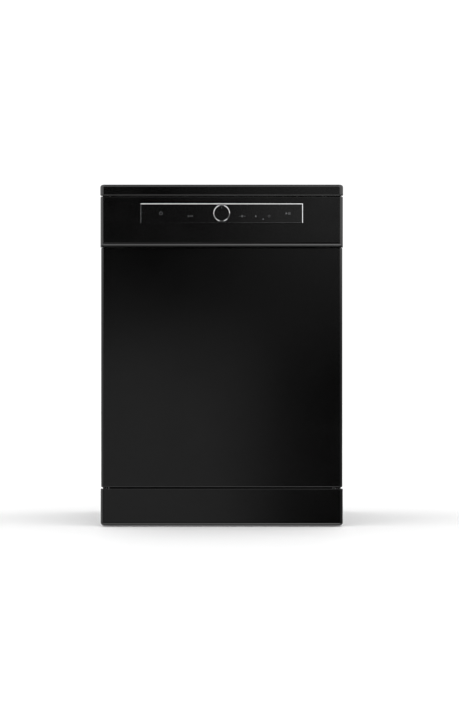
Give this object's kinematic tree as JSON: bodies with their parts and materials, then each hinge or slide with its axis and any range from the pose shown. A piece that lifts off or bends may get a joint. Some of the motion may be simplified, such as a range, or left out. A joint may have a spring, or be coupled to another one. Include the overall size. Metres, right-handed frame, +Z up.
{
  "type": "dishwasher",
  "caption": "Black freestanding dishwasher with its own worktop, a drop-down door, a control strip with a round knob and flush keys, a steel tub, two wire racks and spray arms.",
  "frame": {"origin": "on the floor, under the middle of the machine", "axes": "+X to the right seen from the front, +Y to the back, +Z up; the door opens towards -Y"},
  "size_m": [0.6, 0.6, 0.845],
  "materials": {
    "black_enamel": "satin black paint",
    "black_plastic": "fine-grained black plastic",
    "black_gloss": "gloss black plastic",
    "board": "black laminate on chipboard",
    "stainless": "brushed stainless steel",
    "galvanised": "galvanised steel",
    "chrome": "polished",
    "screw_steel": "zinc-plated",
    "seal_rubber": "matt rubber",
    "grey_plastic": "grey polypropylene",
    "light_plastic": "pale grey polypropylene",
    "blue_plastic": "blue plastic",
    "rack_wire": "grey nylon-coated wire",
    "board_green": "printed circuit board",
    "white_plastic": "white plastic"
  },
  "bodies": {
    "cabinet": {"base_tray": "black_plastic", "plinth": "black_enamel", "side_panel_left": "black_enamel", "side_panel_right": "black_enamel", "rear_panel": "galvanised", "worktop_board": "board", "worktop_surround": "black_plastic", "cabinet_screws": "screw_steel", "tub_wrapper": "stainless", "tub_rear_wall": "stainless", "tub_floor": "stainless", "door_seal": "seal_rubber", "sump": "grey_plastic", "filter_plate": "stainless", "spray_arm_post": "grey_plastic", "spray_feed_pipe": "grey_plastic", "ceiling_sprayer": "grey_plastic", "circulation_pump": "black_plastic", "water_softener": "white_plastic", "inlet_valve": "white_plastic", "drain_outlet": "grey_plastic", "hinge_brackets": "galvanised", "hinge_springs": "screw_steel", "latch_striker": "galvanised", "upper_rack_rails": "stainless"},
    "door": {"door_outer_panel": "black_enamel", "door_inner_panel": "stainless", "control_fascia": "black_plastic", "control_window": "black_gloss", "strip_bezel": "chrome", "hinge_arms": "galvanised", "dispenser_body": "light_plastic", "door_screws": "screw_steel", "control_board": "board_green"},
    "programme_knob": {"programme_knob": "black_gloss", "knob_ring": "chrome"},
    "dispenser_lid": {"dispenser_lid": "light_plastic"},
    "rinse_cap": {"rinse_cap": "blue_plastic"},
    "lower_spray_arm": {"lower_spray_arm": "grey_plastic"},
    "upper_spray_arm": {"upper_spray_arm": "grey_plastic"},
    "filter_cup": {"filter_cup": "grey_plastic"},
    "salt_cap": {"salt_cap": "light_plastic"},
    "lower_rack": {"lower_rack": "rack_wire"},
    "folding_tines": {"folding_tines": "rack_wire"},
    "cutlery_basket": {"cutlery_basket": "grey_plastic"},
    "upper_rack_slides": {"upper_rack_slides": "light_plastic"},
    "upper_rack": {"upper_rack": "rack_wire", "upper_arm_feed": "grey_plastic"},
    "foot_front_left": {"foot_front_left": "black_plastic"},
    "foot_front_right": {"foot_front_right": "black_plastic"},
    "key_power": {"key_power": "black_gloss"},
    "key_rapid": {"key_rapid": "black_gloss"},
    "key_options": {"key_options": "black_gloss"},
    "key_auto": {"key_auto": "black_gloss"},
    "key_delay": {"key_delay": "black_gloss"},
    "key_start": {"key_start": "black_gloss"},
    "rack_wheel_front_left": {"rack_wheel_front_left": "grey_plastic"},
    "rack_wheel_front_right": {"rack_wheel_front_right": "grey_plastic"},
    "rack_wheel_rear_left": {"rack_wheel_rear_left": "grey_plastic"},
    "rack_wheel_rear_right": {"rack_wheel_rear_right": "grey_plastic"}
  },
  "joints": [
    {"name": "door_hinge", "type": "hinge", "parent": "cabinet", "child": "door", "pos_m": [0, -0.26, 0.122], "axis": [1, 0, 0], "range_deg": [0, 90], "stiffness_Nm_per_rad": 10.5, "springref_deg": -20.05},
    {"name": "knob_turn", "type": "hinge", "parent": "door", "child": "programme_knob", "pos_m": [0, -0.295, 0.7735], "axis": [0, 1, 0], "continuous": true},
    {"name": "key_power_press", "type": "slide", "parent": "door", "child": "key_power", "axis": [0, 1, 0], "range_m": [0, 0.0008], "stiffness_N_per_m": 800, "springref_m": -0.0015},
    {"name": "key_rapid_press", "type": "slide", "parent": "door", "child": "key_rapid", "axis": [0, 1, 0], "range_m": [0, 0.0008], "stiffness_N_per_m": 800, "springref_m": -0.0015},
    {"name": "key_options_press", "type": "slide", "parent": "door", "child": "key_options", "axis": [0, 1, 0], "range_m": [0, 0.0008], "stiffness_N_per_m": 800, "springref_m": -0.0015},
    {"name": "key_auto_press", "type": "slide", "parent": "door", "child": "key_auto", "axis": [0, 1, 0], "range_m": [0, 0.0008], "stiffness_N_per_m": 800, "springref_m": -0.0015},
    {"name": "key_delay_press", "type": "slide", "parent": "door", "child": "key_delay", "axis": [0, 1, 0], "range_m": [0, 0.0008], "stiffness_N_per_m": 800, "springref_m": -0.0015},
    {"name": "key_start_press", "type": "slide", "parent": "door", "child": "key_start", "axis": [0, 1, 0], "range_m": [0, 0.0008], "stiffness_N_per_m": 800, "springref_m": -0.0015},
    {"name": "dispenser_lid_slide", "type": "slide", "parent": "door", "child": "dispenser_lid", "axis": [1, 0, 0], "range_m": [0, 0.07]},
    {"name": "rinse_cap_turn", "type": "hinge", "parent": "door", "child": "rinse_cap", "pos_m": [0.05, -0.23, 0.476], "axis": [0, 1, 0], "range_deg": [0, 90]},
    {"name": "lower_spray_arm_spin", "type": "hinge", "parent": "cabinet", "child": "lower_spray_arm", "pos_m": [0, 0.012, 0.1645], "axis": [0, 0, 1], "continuous": true},
    {"name": "filter_cup_turn", "type": "hinge", "parent": "cabinet", "child": "filter_cup", "pos_m": [0.045, 0.012, 0.11], "axis": [0, 0, 1], "range_deg": [0, 60]},
    {"name": "salt_cap_turn", "type": "hinge", "parent": "cabinet", "child": "salt_cap", "pos_m": [-0.145, -0.108, 0.14], "axis": [0, 0, 1], "range_deg": [0, 270]},
    {"name": "lower_rack_slide", "type": "slide", "parent": "cabinet", "child": "lower_rack", "axis": [0, -1, 0], "range_m": [0, 0.012]},
    {"name": "rack_wheel_front_left_roll", "type": "hinge", "parent": "lower_rack", "child": "rack_wheel_front_left", "pos_m": [-0.252, -0.15, 0.167], "axis": [1, 0, 0], "range_deg": [-45, 45]},
    {"name": "rack_wheel_front_right_roll", "type": "hinge", "parent": "lower_rack", "child": "rack_wheel_front_right", "pos_m": [0.252, -0.15, 0.167], "axis": [1, 0, 0], "range_deg": [-45, 45]},
    {"name": "rack_wheel_rear_left_roll", "type": "hinge", "parent": "lower_rack", "child": "rack_wheel_rear_left", "pos_m": [-0.252, 0.15, 0.167], "axis": [1, 0, 0], "range_deg": [-45, 45]},
    {"name": "rack_wheel_rear_right_roll", "type": "hinge", "parent": "lower_rack", "child": "rack_wheel_rear_right", "pos_m": [0.252, 0.15, 0.167], "axis": [1, 0, 0], "range_deg": [-45, 45]},
    {"name": "folding_tines_fold", "type": "hinge", "parent": "lower_rack", "child": "folding_tines", "pos_m": [-0.034, 0, 0.19805], "axis": [0, -1, 0], "range_deg": [0, 85]},
    {"name": "cutlery_basket_lift", "type": "slide", "parent": "lower_rack", "child": "cutlery_basket", "axis": [0, 0, 1], "range_m": [0, 0.06]},
    {"name": "upper_rack_slide", "type": "slide", "parent": "cabinet", "child": "upper_rack_slides", "axis": [0, -1, 0], "range_m": [0, 0.012]},
    {"name": "upper_rack_lift", "type": "slide", "parent": "upper_rack_slides", "child": "upper_rack", "axis": [0, 0, 1], "range_m": [0, 0.045]},
    {"name": "upper_spray_arm_spin", "type": "hinge", "parent": "upper_rack", "child": "upper_spray_arm", "pos_m": [0, 0, 0.441], "axis": [0, 0, 1], "continuous": true},
    {"name": "foot_left_height", "type": "slide", "parent": "cabinet", "child": "foot_front_left", "axis": [0, 0, 1], "range_m": [-0.03, 0]},
    {"name": "foot_right_height", "type": "slide", "parent": "cabinet", "child": "foot_front_right", "axis": [0, 0, 1], "range_m": [-0.03, 0]}
  ],
  "couplings": [
    {"joint": "rack_wheel_front_left_roll", "follows": "lower_rack_slide", "rad_per_m": 58.824},
    {"joint": "rack_wheel_front_right_roll", "follows": "lower_rack_slide", "rad_per_m": 58.824},
    {"joint": "rack_wheel_rear_left_roll", "follows": "lower_rack_slide", "rad_per_m": 58.824},
    {"joint": "rack_wheel_rear_right_roll", "follows": "lower_rack_slide", "rad_per_m": 58.824}
  ]
}
